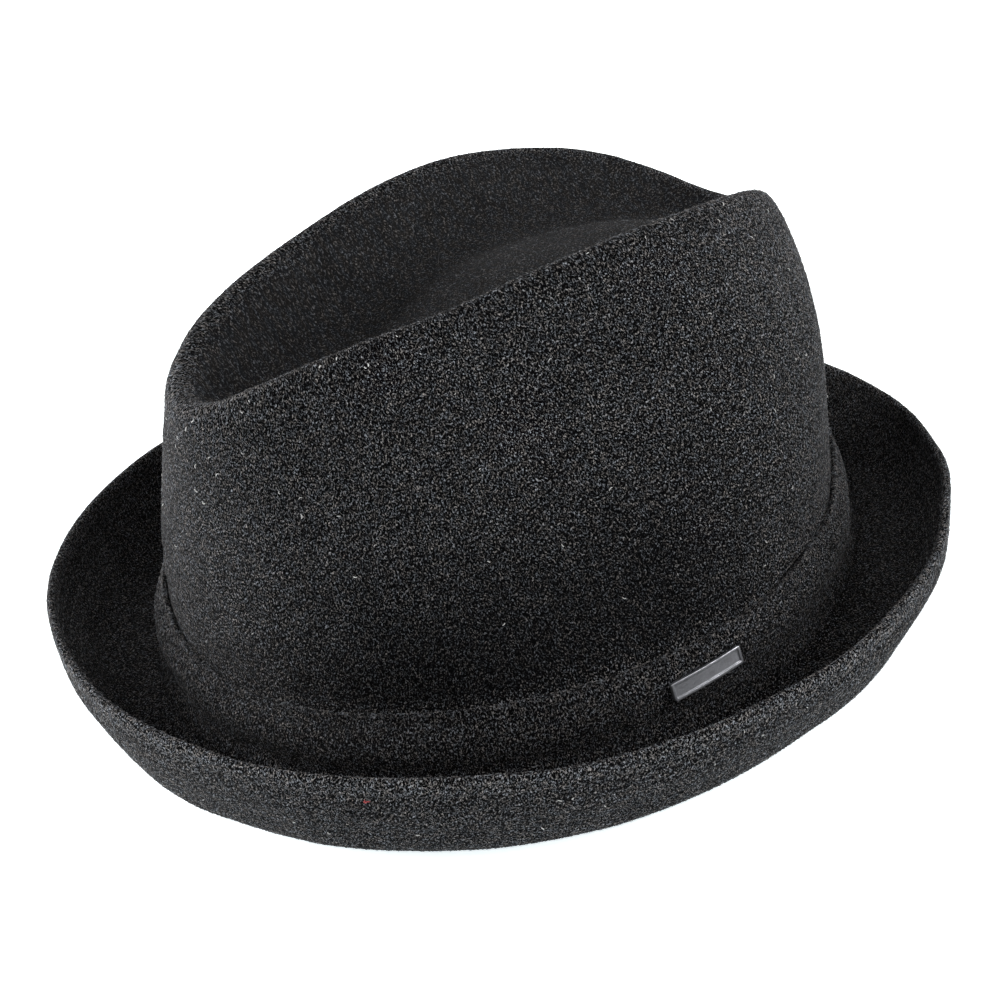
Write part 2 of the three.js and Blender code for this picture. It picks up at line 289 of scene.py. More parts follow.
# ---- meshes from arrays ---------------------------------------------------------
def mesh_object(name, points, faces, material, body="root", maps=None, smooth_shade=True, tone=None,
                pressed=None):
    """points (n, 3) mm, faces (m, 3 or 4); maps: UV map name to (m, corners, 2);
    tone: how pale the felt is painted at each point, painted light and shade
    included, 1 is middling; pressed: how flat its nap lies, 0 to 1."""
    me = bpy.data.meshes.new(name)
    points = np.asarray(points, float) * MM
    faces = np.asarray(faces, np.int32)
    count, corners = faces.shape
    me.vertices.add(len(points))
    me.vertices.foreach_set("co", points.astype(np.float32).ravel())
    me.loops.add(count * corners)
    me.loops.foreach_set("vertex_index", faces.ravel())
    me.polygons.add(count)
    me.polygons.foreach_set("loop_start", np.arange(0, count * corners, corners, dtype=np.int32))
    me.update(calc_edges=True)
    for layer_name, values in (("tone", tone), ("pressed", pressed)):
        if values is not None:
            layer = me.attributes.new(layer_name, "FLOAT", "POINT")
            layer.data.foreach_set("value", np.asarray(values, np.float32).ravel())
    for layer, uv in (maps or {}).items():
        made = me.uv_layers.new(name=layer)
        made.uv.foreach_set("vector", np.asarray(uv, np.float32).ravel())
    if smooth_shade:
        me.shade_smooth()
    me.materials.append(material)
    me.validate()
    o = bpy.data.objects.new(name, me)
    bpy.context.scene.collection.objects.link(o)
    if body:
        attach(o, body)
    return o


# ---- materials --------------------------------------------------------------------
class Nodes:
    """Short hand for a material's node tree."""

    def __init__(self, name):
        self.material = bpy.data.materials.new(name)
        self.material.use_nodes = True
        self.tree = self.material.node_tree
        self.shader = self.tree.nodes["Principled BSDF"]

    def add(self, kind, **values):
        node = self.tree.nodes.new(kind)
        for key, value in values.items():
            if hasattr(node, key) and not key[0].isupper():
                setattr(node, key, value)
            else:
                node.inputs[key].default_value = value
        return node

    def link(self, a, b):
        self.tree.links.new(a, b)

    def math(self, op, a, b=None, clamp=False):
        node = self.tree.nodes.new("ShaderNodeMath")
        node.operation = op
        node.use_clamp = clamp
        for i, v in enumerate((a, b)):
            if v is None:
                continue
            if isinstance(v, (int, float)):
                node.inputs[i].default_value = v
            else:
                self.link(v, node.inputs[i])
        return node.outputs[0]

    def ramp(self, value, low, high, out_low=0.0, out_high=1.0):
        node = self.tree.nodes.new("ShaderNodeMapRange")
        node.interpolation_type = "SMOOTHSTEP"
        self.link(value, node.inputs["Value"])
        for key, v in (("From Min", low), ("From Max", high), ("To Min", out_low), ("To Max", out_high)):
            node.inputs[key].default_value = v
        return node.outputs["Result"]

    def mix(self, factor, a, b):
        node = self.tree.nodes.new("ShaderNodeMix")
        node.data_type = "RGBA"
        for i, v in ((0, factor), (6, a), (7, b)):
            if isinstance(v, (int, float)):
                node.inputs[i].default_value = v
            elif isinstance(v, tuple):
                node.inputs[i].default_value = (*v, 1)
            else:
                self.link(v, node.inputs[i])
        return node.outputs[2]

    def noise(self, vector, scale, detail=2.0, rough=0.5, distortion=0.0):
        node = self.tree.nodes.new("ShaderNodeTexNoise")
        node.noise_dimensions = "3D"
        self.link(vector, node.inputs["Vector"])
        for key, v in (("Scale", scale), ("Detail", detail), ("Roughness", rough), ("Distortion", distortion)):
            node.inputs[key].default_value = v
        return node.outputs["Fac"]

    def mapped(self, vector, scale, angle=0.0, move=(0, 0, 0)):
        node = self.tree.nodes.new("ShaderNodeMapping")
        self.link(vector, node.inputs["Vector"])
        node.inputs["Scale"].default_value = scale
        node.inputs["Rotation"].default_value = (0, 0, angle)
        node.inputs["Location"].default_value = move
        return node.outputs["Vector"]


def felt_material(name, dark, light, gain=1.0, bump=0.5, sheen=0.35):
    """Black wool felt: short strokes of paler fibre over a dark ground.

    The UV map "nap" is in millimetres: x round the hat, y down it."""
    m = Nodes(name)
    uv = m.add("ShaderNodeUVMap", uv_map="nap").outputs["UV"]
    obj = m.add("ShaderNodeTexCoord").outputs["Object"]
    # strokes of fibre lying three ways, each about 1 mm long and 0.25 mm wide
    masks = []
    for angle, low, move in ((0.10, 0.568, 0.0), (0.60, 0.603, 37.0), (-0.50, 0.603, 91.0)):
        turned = m.mapped(uv, (1, 1, 1), angle, (move, move * 0.37, 0))
        fine = m.noise(m.mapped(turned, (2.8, 1.6, 1)), 1.0, 1.0, 0.5, 0.2)
        masks.append(m.ramp(fine, low, low + 0.12))
    strokes = m.math("MAXIMUM", m.math("MAXIMUM", masks[0], masks[1]), masks[2])
    curls = m.ramp(m.noise(m.mapped(uv, (1.7, 1.5, 1), 0, (7, 3, 0)), 1.0, 1.0, 0.5, 0.5), 0.40, 0.66)
    strokes = m.math("MULTIPLY", strokes, m.math("ADD", m.math("MULTIPLY", curls, 0.8), 0.2), True)
    patch = m.ramp(m.noise(m.mapped(obj, (1, 1, 1)), 160.0, 2.0, 0.5), 0.30, 0.70, 0.84, 1.16)
    cloud = m.ramp(m.noise(m.mapped(obj, (1, 1, 1)), 17.0, 2.0, 0.5), 0.30, 0.70, 0.93, 1.07)
    # painted light: the tone attribute holds painted shade in the dent and low on the crown and painted highlight on
    # the front fold, high on the back and at the lip
    tone_gain = m.add("ShaderNodeAttribute", attribute_name="tone").outputs["Fac"]
    power = m.math("MULTIPLY", m.math("MULTIPLY", strokes, patch), m.math("MULTIPLY", cloud, gain))
    # in the dent the nap is pressed flat and shows smoother
    soft = m.add("ShaderNodeAttribute", attribute_name="pressed").outputs["Fac"]
    flat = m.math("MULTIPLY", patch, 0.085)
    power = m.math("ADD", m.math("MULTIPLY", power, m.math("SUBTRACT", 1.0, soft)), m.math("MULTIPLY", flat, soft))
    # the strokes are scaled by that painted light and shade
    power = m.math("MULTIPLY", power, tone_gain, True)
    hue = m.noise(m.mapped(uv, (0.5, 0.5, 1), 0.0, (13, 5, 0)), 1.0, 1.0, 0.5)
    cool = tuple(c * f for c, f in zip(light, (0.93, 0.99, 1.07)))
    warm = tuple(c * f for c, f in zip(light, (1.06, 0.99, 0.93)))
    fibre = m.mix(m.ramp(hue, 0.36, 0.64), cool, warm)
    ground = m.mix(cloud, tuple(c * 0.7 for c in dark), dark)
    m.link(m.mix(power, ground, fibre), m.shader.inputs["Base Color"])
    rough = m.ramp(power, 0.0, 1.0, 0.95, 0.72)
    m.link(rough, m.shader.inputs["Roughness"])
    m.shader.inputs["Specular IOR Level"].default_value = 0.02
    m.shader.inputs["Sheen Weight"].default_value = sheen
    m.shader.inputs["Sheen Roughness"].default_value = 0.45
    m.shader.inputs["Sheen Tint"].default_value = (1, 1, 1, 1)
    node = m.add("ShaderNodeBump", Strength=bump, Distance=0.00022)
    pits = m.noise(m.mapped(uv, (1.3, 1.0, 1)), 1.0, 3.0, 0.6, 0.4)
    m.link(m.math("ADD", m.math("MULTIPLY", strokes, 0.6), pits), node.inputs["Height"])
    m.link(node.outputs["Normal"], m.shader.inputs["Normal"])
    return m.material


def fibre_material(name, dark, light):
    """Single hairs of the nap: each takes its own tone from where it lies, scaled by the painted light and shade of
    its tone attribute.
    """
    m = Nodes(name)
    obj = m.add("ShaderNodeTexCoord").outputs["Object"]
    tone = m.ramp(m.noise(m.mapped(obj, (1, 1, 1)), 900.0, 1.0, 0.5), 0.38, 0.66)
    hue = m.ramp(m.noise(m.mapped(obj, (1, 1, 1), 0, (0.3, 0.1, 0.2)), 420.0, 0.0, 0.5), 0.40, 0.60)
    cool = tuple(c * f for c, f in zip(light, (0.92, 0.99, 1.06)))
    warm = tuple(c * f for c, f in zip(light, (1.06, 0.99, 0.93)))
    # painted light: the tone attribute carries the felt's painted shade and painted highlight onto each hair
    tone_gain = m.add("ShaderNodeAttribute", attribute_name="tone").outputs["Fac"]
    m.link(m.mix(m.math("MULTIPLY", tone, tone_gain, True), dark, m.mix(hue, cool, warm)), m.shader.inputs["Base Color"])
    m.link(m.ramp(tone, 0, 1, 0.8, 0.55), m.shader.inputs["Roughness"])
    m.shader.inputs["Specular IOR Level"].default_value = 0.1
    return m.material


def thread_material(name):
    m = Nodes(name)
    obj = m.add("ShaderNodeTexCoord").outputs["Object"]
    twist = m.noise(m.mapped(obj, (1, 1, 1)), 2600.0, 2.0, 0.6)
    tone_gain = m.ramp(m.noise(m.mapped(obj, (1, 1, 1)), 60.0, 2.0, 0.5), 0.35, 0.7)
    m.link(m.mix(m.math("MULTIPLY", twist, tone_gain), (0.004, 0.004, 0.005), (0.035, 0.036, 0.040)), m.shader.inputs["Base Color"])
    m.link(m.ramp(twist, 0.3, 0.7, 0.42, 0.62), m.shader.inputs["Roughness"])
    node = m.add("ShaderNodeBump", Strength=0.5, Distance=0.0001)
    m.link(twist, node.inputs["Height"])
    m.link(node.outputs["Normal"], m.shader.inputs["Normal"])
    return m.material


def metal_material(name):
    """Dulled grey metal, brushed along the plate, with patches of tarnish.

    The UV map "nap" is in millimetres; x runs along the plate."""
    m = Nodes(name)
    uv = m.add("ShaderNodeUVMap", uv_map="nap").outputs["UV"]
    obj = m.add("ShaderNodeTexCoord").outputs["Object"]
    brushed = m.noise(m.mapped(uv, (0.5, 14.0, 1)), 1.0, 3.0, 0.6)
    tarnish = m.ramp(m.noise(m.mapped(obj, (1, 1, 1)), 420.0, 3.0, 0.6), 0.35, 0.65)
    tone = m.math("ADD", m.math("MULTIPLY", brushed, 0.5), m.math("MULTIPLY", tarnish, 0.5))
    m.link(m.mix(tone, (0.20, 0.205, 0.22), (0.55, 0.56, 0.60)), m.shader.inputs["Base Color"])
    m.link(m.ramp(tone, 0.2, 0.8, 0.52, 0.34), m.shader.inputs["Roughness"])
    m.shader.inputs["Metallic"].default_value = 0.9
    node = m.add("ShaderNodeBump", Strength=0.25, Distance=0.00005)
    m.link(brushed, node.inputs["Height"])
    m.link(node.outputs["Normal"], m.shader.inputs["Normal"])
    return m.material


FELT_LOOK = felt_material("wool_felt", (0.0010, 0.0010, 0.0012), (0.27, 0.27, 0.276), sheen=0.012)
BAND_LOOK = felt_material("band_wool_felt", (0.0010, 0.0010, 0.0012), (0.26, 0.26, 0.266), sheen=0.012)
HAIR_LOOK = fibre_material("wool_hair", (0.008, 0.008, 0.009), (0.26, 0.26, 0.266))
THREAD_LOOK = thread_material("black_thread")
METAL_LOOK = metal_material("dull_metal")

# ---- the felt body ------------------------------------------------------------------
COLUMNS = 352
TURNS = np.arange(COLUMNS) * 2 * PI / COLUMNS
ROUND = 84.0          # a turn of one radian on the crown, in millimetres of nap map
ROUND_BRIM = 119.0    # the same on the brim


def spread(*spans):
    """Places of rows from (from, to, count) spans, last end left out."""
    return np.concatenate([np.linspace(a, b, n, endpoint=False) for a, b, n in spans])


def lip_places(turn, distances):
    """Places that lie these distances from the lip, along the section."""
    fine = np.linspace(AT_RING - 1, AT_LIP, 260)
    pts = middle(turn, fine)
    step = np.linalg.norm(np.diff(pts, axis=0), axis=-1)
    run = np.concatenate([np.zeros((1, len(turn))), np.cumsum(step[::-1], 0)], 0)
    back = fine[::-1]
    return np.stack([np.interp(distances, run[:, i], back) for i in range(len(turn))], 1)


def stitch_distances():
    return [STITCH_FIRST + STITCH_STEP * i for i in range(STITCH_ROWS)]


def groove(distance):
    """How far a row of stitches draws the felt in."""
    return sum(np.exp(-((distance - d) / GROOVE_HALF) ** 2) for d in stitch_distances()) * GROOVE


NEAR_LIP = []
for row in stitch_distances():
    NEAR_LIP += [row + x for x in (-1.1, -0.62, -0.3, 0.0, 0.3, 0.62, 1.1)]
NEAR_LIP += [0.35, 0.9, 1.6] + [d - STITCH_STEP / 2 for d in stitch_distances()[1:]]
NEAR_LIP = np.array(sorted(NEAR_LIP + [stitch_distances()[-1] + 2.2]))

lip_rows = lip_places(TURNS, NEAR_LIP)[::-1]                  # from the ring out to the lip
last_even = float(np.median(lip_rows[0])) - 0.12
top_even = spread((0, 2, 8), (2, 5, 14), (5, 7, 11), (7, 13, 36), (13, 18, 18), (18, last_even, 13))
PLACE = np.concatenate([grid(top_even, TURNS), lip_rows, grid(AT_LIP, TURNS)], 0)
# rows between the ring and the first row near the lip keep an even step
first = len(top_even) - 13
for j in range(13):
    PLACE[first + j] = AT_RING + (lip_rows[0] - AT_RING) * (j / 13.0)
FROM_LIP = np.concatenate([np.full(len(top_even), 99.0), NEAR_LIP[::-1], [0.0]])[:, None]

MID = middle(TURNS, PLACE)
SQUARE = square(TURNS, PLACE)
SWELL = uneven(MID, PLACE)
# painted light and shade of the felt at every point
PAINTED_TONE = painted_light_and_shade(MID, PLACE, TURNS[None, :])
DRAW = groove(FROM_LIP) * np.ones_like(PLACE)
LENGTH = np.concatenate([np.zeros((1, COLUMNS)), np.cumsum(np.linalg.norm(np.diff(MID, axis=0), axis=-1), 0)], 0)


def top_face(mid, n, swell, draw):
    return mid + n * (FELT / 2 + swell - draw)[..., None]


def under_face(mid, n, place, swell, draw):
    p = mid + n * (-FELT / 2 + swell + draw)[..., None]
    low = np.maximum(0.0, p[..., 2] - SINK * smooth(place, AT_WAIST - 1, AT_WAIST + 1))
    p[..., 2] = np.where(place > AT_WAIST - 1, low, p[..., 2])
    return p


TOP = top_face(MID, SQUARE, SWELL, DRAW)
keep = np.concatenate([np.arange(0, 69, 2), np.arange(69, len(PLACE))])       # coarser inside the crown
UNDER = under_face(MID, SQUARE, PLACE, SWELL, DRAW)

# rounded lip, a little uneven in thickness
end_way = unit(MID[-1] - middle(TURNS, AT_LIP - 0.05)[0])
LIP = []
for bend in (30, 60, 90, 120, 150):
    a = math.radians(bend)
    LIP.append(MID[-1] + SQUARE[-1] * (math.cos(a) * FELT / 2 + SWELL[-1])[..., None]
               + end_way * (math.sin(a) * FELT / 2))
LIP = np.stack(LIP, 0)


def rows_to_faces(ids):
    """ids (rows, columns) of points round the hat -> quads."""
    a, b = ids[:-1], ids[1:]
    return np.stack([a, b, np.roll(b, -1, 1), np.roll(a, -1, 1)], -1).reshape(-1, 4)


def corner_map(values):
    """values (rows, columns + 1, 2) -> one per quad corner."""
    a, b = values[:-1], values[1:]
    return np.stack([a[:, :-1], b[:, :-1], b[:, 1:], a[:, 1:]], 2).reshape(-1, 4, 2)


def build_felt():
    rows = [TOP, LIP, UNDER[keep][::-1]]
    points = np.concatenate(rows, 0)
    count = len(points)
    ids = np.arange(count * COLUMNS).reshape(count, COLUMNS)
    # the first and last rows are the dent's middle line, left joined to right
    for r in (0, count - 1):
        fold = np.arange(1, COLUMNS // 2)
        ids[r, COLUMNS - fold] = ids[r, fold]
    flat = points.reshape(-1, 3).copy()
    for r in (0, count - 1):
        flat[ids[r], 0] = 0.0
    faces = rows_to_faces(ids)
    used, back = np.unique(faces, return_inverse=True)
    faces = back.reshape(faces.shape)
    flat = flat[used]
    # nap map in millimetres
    length = np.concatenate([LENGTH, LENGTH[-1] + np.linspace(0.6, 2.8, 5)[:, None] * np.ones(COLUMNS),
                             2 * LENGTH[-1] + 3.4 - LENGTH[keep][::-1]], 0)
    round_ = np.append(TURNS, 2 * PI)
    nap = np.stack([np.tile(round_, (count, 1)), np.concatenate([length, length[:, :1]], 1)], -1)
    nap = corner_map(nap)
    # true to size round the crown and, further out, round the brim
    ring_row = int(np.searchsorted(np.median(PLACE, 1), AT_RING))
    brim = np.zeros(len(nap), bool)
    brim[ring_row * COLUMNS:(len(TOP) + len(LIP) + len(PLACE) - 1 - ring_row) * COLUMNS] = True
    nap[~brim, :, 0] *= ROUND
    nap[brim, :, 0] = nap[brim, :, 0] * ROUND_BRIM + 31.0
    # the dent's floor and sides are mapped from above
    crest_row = int(np.searchsorted(top_even, AT_RIM - 1))
    dent = np.arange((crest_row) * COLUMNS)
    under_dent = np.arange(len(nap) - int(np.searchsorted(top_even[keep[keep < len(top_even)]], AT_RIM - 1)) * COLUMNS, len(nap))
    for part in (dent, under_dent):
        nap[part] = flat[faces[part]][..., :2] + (400.0, 90.0)
    part_v = np.linspace(0.004, 0.996, count)
    bake = corner_map(np.stack([np.tile(np.append(TURNS, 2 * PI) / (2 * PI) * 0.992 + 0.004, (count, 1)),
                                np.tile(part_v[:, None], (1, COLUMNS + 1))], -1))
    tone = np.concatenate([PAINTED_TONE, np.repeat(PAINTED_TONE[-1:], len(LIP), 0), PAINTED_TONE[keep][::-1]], 0).reshape(-1)[used]
    lying = 0.5 * (1 - smooth(np.concatenate([PLACE, np.repeat(PLACE[-1:], len(LIP), 0), PLACE[keep][::-1]], 0),
                               AT_RIM - 1.6, AT_RIM - 0.4)).reshape(-1)[used]
    return mesh_object("felt_crown_and_brim", flat, faces, FELT_LOOK, maps={"OFBake": bake, "nap": nap}, tone=tone,
                       pressed=lying)


felt = build_felt()
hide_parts("felt_body")

# ---- the band ------------------------------------------------------------------------
BAND_COLUMNS = 288
BAND_TURNS = np.arange(BAND_COLUMNS) * 2 * PI / BAND_COLUMNS


def band_face(turn, part, outer):
    """Point of the band: part 0 top edge to 1 lower edge, outer 0 or 1."""
    place = BAND_TOP + (BAND_FOOT - BAND_TOP) * grid(part, turn)
    thick = BAND_FELT + (BAND_HEM - BAND_FELT) * grid(part, turn) ** 2
    mid, n = middle(turn, place), square(turn, place)
    return mid + n * (FELT / 2 + GAP + outer * thick + uneven(mid, place))[..., None], n


EDGE = waves(10, 60, 9, 0.22)


def build_band():
    parts = np.concatenate([np.linspace(0, 0.08, 5), np.linspace(0.12, 1, 20)])
    inner, _ = band_face(BAND_TURNS, parts[::2][::-1], 0)
    outer, _ = band_face(BAND_TURNS, parts, 1)
    top_in, n = band_face(BAND_TURNS, 0, 0)
    rise = sum_waves(top_in[0], EDGE)
    edge = []
    for a in (25, 55, 90, 125, 155):
        w = 0.5 - 0.5 * math.cos(math.radians(a))
        p, _ = band_face(BAND_TURNS, 0, w)
        q = p[0].copy()
        q[:, 2] += BAND_FELT * 0.36 * math.sin(math.radians(a))
        edge.append(q)
    edge = np.stack(edge, 0)
    rows = np.concatenate([inner, edge, outer], 0)
    # the raw edge wanders a little
    lift = np.concatenate([smooth(1 - parts[::2][::-1], 0.85, 1.0), np.ones(5), smooth(1 - parts, 0.80, 1.0)])
    rows[..., 2] += lift[:, None] * rise[None, :]
    count = len(rows)
    ids = np.arange(count * BAND_COLUMNS).reshape(count, BAND_COLUMNS)
    ids = np.concatenate([ids, ids[:1]], 0)
    step = np.linalg.norm(np.diff(np.concatenate([rows, rows[:1]], 0), axis=0), axis=-1)
    length = np.concatenate([[0], np.cumsum(step.mean(1))])
    turns = np.append(BAND_TURNS, 2 * PI)
    nap = corner_map(np.stack([np.tile(turns * 95.0 + 11, (count + 1, 1)),
                               np.tile(length[:, None], (1, BAND_COLUMNS + 1))], -1))
    bake = corner_map(np.stack([np.tile(turns / (2 * PI) * 0.99 + 0.005, (count + 1, 1)),
                                np.tile((length / length[-1] * 0.99 + 0.005)[:, None], (1, BAND_COLUMNS + 1))], -1))
    return mesh_object("felt_band", rows.reshape(-1, 3), rows_to_faces(ids), BAND_LOOK,
                       maps={"OFBake": bake, "nap": nap}, tone=np.full(rows.shape[0] * rows.shape[1], 1.05)), outer, edge


band, BAND_OUTER, BAND_EDGE = build_band()
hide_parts("crown_band")

# ---- the badge ------------------------------------------------------------------------
def build_badge():
    """Plate bent round the band, raised plain border, bare field."""
    half_l, half_h = BADGE_LENGTH / 2, BADGE_HEIGHT / 2
    t = np.array([BADGE_TURN])
    place = BAND_TOP + (BAND_FOOT - BAND_TOP) * BADGE_PART

    def face(turn):
        thick = BAND_FELT + (BAND_HEM - BAND_FELT) * BADGE_PART ** 2
        return middle(turn, place)[0] + square(turn, place)[0] * (FELT / 2 + GAP + thick)

    centre = face(t)[0]
    out = square(t, place)[0, 0]
    along = unit(np.array([-out[1], out[0], 0.0]))
    up = unit(np.cross(out, along))
    around = BADGE_TURN + np.linspace(-0.2, 0.2, 401)
    pts = face(around)
    step = np.concatenate([[0], np.cumsum(np.linalg.norm(np.diff(pts, axis=0), axis=-1))])
    step -= step[200]
    sag = 0.5 * sum(np.interp(s * half_l, step, (pts - centre) @ out) for s in (-1, 1))

    def lines(half, corner, inner):
        edge = half - np.array([0.0, 0.05, 0.14, 0.3, BADGE_FRAME - 0.12, BADGE_FRAME - 0.04,
                                BADGE_FRAME + 0.05, BADGE_FRAME + 0.2, BADGE_FRAME + 0.28])
        field = np.linspace(-edge[-1], edge[-1], inner)[1:-1]
        return np.concatenate([-edge, field, edge[::-1]])

    us, vs = lines(half_l, 0.9, 40), lines(half_h, 0.9, 12)
    u, v = np.meshgrid(us, vs, indexing="ij")
    # rounded corners: points outside the corner's arc are drawn in
    radius = 0.7
    du = np.maximum(np.abs(u) - (half_l - radius), 0)
    dv = np.maximum(np.abs(v) - (half_h - radius), 0)
    both = (du > 0) & (dv > 0)
    longest = np.maximum(du, dv)
    reach = np.sqrt(du ** 2 + dv ** 2)
    pull = np.where(both, longest / np.maximum(reach, 1e-9), 1.0)
    su = np.sign(u) * (np.minimum(np.abs(u), half_l - radius) + du * pull)
    sv = np.sign(v) * (np.minimum(np.abs(v), half_h - radius) + dv * pull)
    # height: bevelled outside, border, slope to the field
    inset = np.minimum(half_l - np.abs(u), half_h - np.abs(v))
    corner_inset = radius - np.where(both, np.maximum(du, dv), 0)
    inset = np.where(both, np.minimum(inset, corner_inset), inset)
    bevel = 0.14 * (1 - np.sqrt(np.clip(1 - (1 - np.clip(inset / 0.14, 0, 1)) ** 2, 0, 1)))
    field = smooth(inset, BADGE_FRAME - 0.02, BADGE_FRAME + 0.2)
    lift = GAP + BADGE_SEAT + BADGE_THICK - bevel - BADGE_SINK * field
    lift -= 0.02 * field * (1 + np.cos(PI * v / half_h))

    def place_points(lift_):
        return (centre + along * su[..., None] + up * sv[..., None]
                + out * (sag * (su / half_l) ** 2 + lift_)[..., None])

    front = place_points(lift)
    back = place_points(np.full_like(lift, GAP + BADGE_SEAT))
    nu, nv = len(us), len(vs)
    ids = np.arange(nu * nv).reshape(nu, nv)
    quads = np.stack([ids[:-1, :-1], ids[1:, :-1], ids[1:, 1:], ids[:-1, 1:]], -1).reshape(-1, 4)
    ring = np.concatenate([ids[:, 0], ids[-1, 1:], ids[-2::-1, -1], ids[0, -2:0:-1]])
    total = nu * nv
    behind = quads[:, ::-1] + total
    nxt = np.roll(ring, -1)
    side = np.stack([ring, ring + total, nxt + total, nxt], -1)
    faces = np.concatenate([quads, behind, side], 0)
    points = np.concatenate([front.reshape(-1, 3), back.reshape(-1, 3)], 0)
    flat = np.concatenate([np.stack([su, sv], -1).reshape(-1, 2)] * 2, 0)
    nap = flat[faces]
    bake = (flat / (2 * half_l) + 0.5) * (0.96, 0.96) + 0.02
    bake = bake[faces]
    bake[len(quads):2 * len(quads), :, 1] += 0.3
    bake[2 * len(quads):, :, 1] -= 0.3
    bake[2 * len(quads):, 2:, 1] += 0.0
    o = mesh_object("badge_plate", points, faces, METAL_LOOK, maps={"nap": nap})
    return o


badge = build_badge()
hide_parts("badge")

# ---- stitched rows ------------------------------------------------------------------------
def build_stitches(name, outer):
    """Short stitches lying in the drawn-in rows, on one face of the brim."""
    sides, rings = 6, 7
    points, faces = [], []
    base = 0
    ring_at = np.linspace(-1, 1, rings)
    for i, distance in enumerate(stitch_distances()):
        line_turn = np.linspace(0, 2 * PI, 1441)
        place = lip_places(line_turn, [distance])
        mid, n = middle(line_turn, place), square(line_turn, place)
        swell = uneven(mid, place)
        off = FELT / 2 - GROOVE
        line = mid + n * ((swell + off) if outer > 0 else (swell - off))[..., None]
        line, n = line[0], n[0] * outer
        run = np.concatenate([[0], np.cumsum(np.linalg.norm(np.diff(line, axis=0), axis=-1))])
        count = int(round(run[-1] / STITCH_PITCH))
        pitch = run[-1] / count
        centres = (np.arange(count) + 0.5 + 0.3 * i + rng.uniform(-0.04, 0.04, count)) * pitch
        half = STITCH_LONG / 2 * rng.uniform(0.93, 1.05, count)
        skew = rng.uniform(-0.07, 0.07, count)
        s = (centres[:, None] + half[:, None] * ring_at[None, :]) % run[-1]
        p = np.stack([np.interp(s, run, line[:, k]) for k in range(3)], -1)
        up = unit(np.stack([np.interp(s, run, n[:, k]) for k in range(3)], -1))
        ahead = np.stack([np.interp((s + 0.3) % run[-1], run, line[:, k]) for k in range(3)], -1)
        way = unit(ahead - p)
        across = unit(np.cross(way, up))
        # the stitch dives into the felt at its two ends
        dive = -0.42 * np.abs(ring_at) ** 3.2
        p = p + up * (THREAD * -0.12 + dive)[None, :, None] + across * (skew[:, None] * ring_at)[..., None]
        thick = THREAD / 2 * np.sqrt(np.clip(1.04 - ring_at ** 4, 0.05, 1))
        for j in range(sides):
            a = 2 * PI * j / sides
            ring = (across * math.cos(a) + up * math.sin(a)) * thick[None, :, None]
            points.append(p + ring)
        block = np.stack(points[-sides:], 2)            # (count, rings, sides, 3)
        points = points[:-sides]
        points.append(block.reshape(-1, 3))
        ids = np.arange(count * rings * sides).reshape(count, rings, sides) + base
        a, b = ids[:, :-1], ids[:, 1:]
        quads = np.stack([a, b, np.roll(b, -1, 2), np.roll(a, -1, 2)], -1).reshape(-1, 4)
        if outer < 0:
            pass
        faces.append(quads)
        # closed ends, two quads each
        for r, flip in ((0, False), (rings - 1, True)):
            e = ids[:, r]
            cap = np.concatenate([e[:, [0, 1, 2, 3]], e[:, [0, 3, 4, 5]]], 0)
            faces.append(cap[:, ::-1] if flip else cap)
        base += count * rings * sides
    o = mesh_object(name, np.concatenate(points, 0), np.concatenate(faces, 0), THREAD_LOOK)
    return o


stitch_out = build_stitches("brim_stitches_outer", -1)
stitch_in = build_stitches("brim_stitches_inner", 1)


